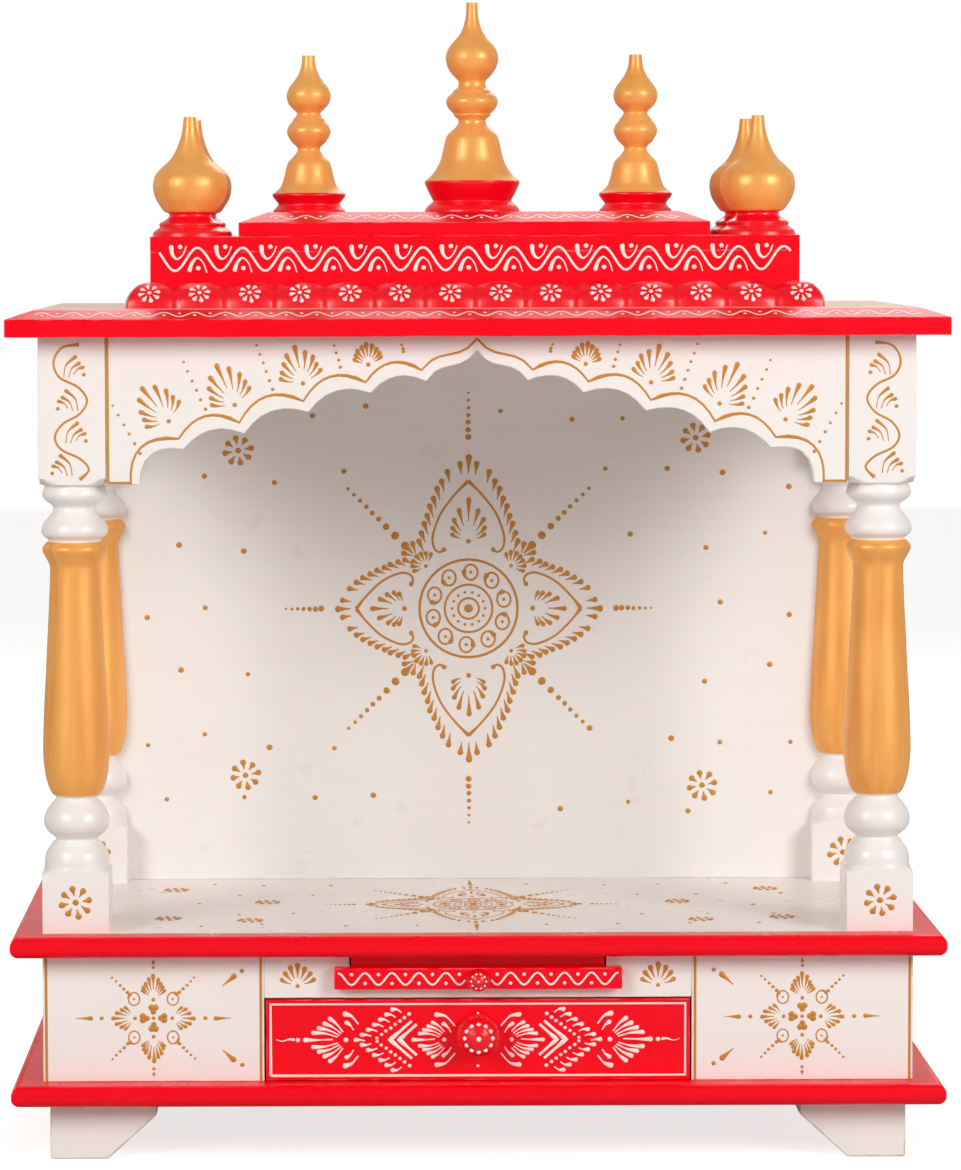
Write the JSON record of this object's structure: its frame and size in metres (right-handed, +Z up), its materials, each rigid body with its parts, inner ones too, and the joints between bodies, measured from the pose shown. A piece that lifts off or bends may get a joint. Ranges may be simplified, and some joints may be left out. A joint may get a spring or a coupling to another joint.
{
  "type": "wooden home temple",
  "caption": "Painted wooden home temple: footed cabinet with drawer and pull-out tray, turned pillars, scalloped arches, back panel and a tiered roof with finials.",
  "frame": {"origin": "middle of the footprint, on the floor under the feet", "axes": "+Z up, +X to the viewer's right, the open front, the drawer and the tray face -Y"},
  "size_m": [0.61, 0.3039, 0.7605],
  "materials": {
    "white_paint": "gloss",
    "red_paint": "gloss",
    "gold_paint": "gloss",
    "pillar_paint": "gloss",
    "bare_wood": "matte"
  },
  "bodies": {
    "frame": {"foot_front_left": "white_paint", "foot_front_right": "white_paint", "foot_back_left": "white_paint", "foot_back_right": "white_paint", "plinth_board": "red_paint", "cabinet_front_left": "white_paint", "cabinet_front_right": "white_paint", "cabinet_front_rail": "white_paint", "cabinet_side_left": "white_paint", "cabinet_side_right": "white_paint", "cabinet_back": "white_paint", "drawer_guides": "bare_wood", "tray_runners": "bare_wood", "base_board": "red_paint", "pillar_front_left": "pillar_paint", "pillar_front_right": "pillar_paint", "pillar_back_left": "pillar_paint", "pillar_back_right": "pillar_paint", "back_panel": "white_paint", "arch_front": "white_paint", "arch_side_left": "white_paint", "arch_side_right": "white_paint", "roof_board": "red_paint", "petals_front_row": "red_paint", "petals_back_row": "red_paint", "petals_left_row": "red_paint", "petals_right_row": "red_paint", "tier_front": "red_paint", "tier_back": "red_paint", "tier_left": "red_paint", "tier_right": "red_paint", "tier_top": "red_paint", "upper_slab": "red_paint", "finial_middle": "gold_paint", "finial_left": "gold_paint", "finial_right": "gold_paint", "dome_front_left": "gold_paint", "dome_front_right": "gold_paint", "dome_back_left": "gold_paint", "dome_back_right": "gold_paint"},
    "drawer": {"drawer_front": "red_paint", "drawer_side_left": "bare_wood", "drawer_side_right": "bare_wood", "drawer_back": "bare_wood", "drawer_bottom": "bare_wood", "drawer_knob": "red_paint"},
    "tray": {"tray_board": "white_paint", "tray_front": "red_paint", "tray_knob": "red_paint"}
  },
  "joints": [
    {"name": "drawer_slide", "type": "slide", "parent": "frame", "child": "drawer", "axis": [0, -1, 0], "range_m": [0, 0.17]},
    {"name": "tray_slide", "type": "slide", "parent": "frame", "child": "tray", "axis": [0, -1, 0], "range_m": [0, 0.15]}
  ]
}
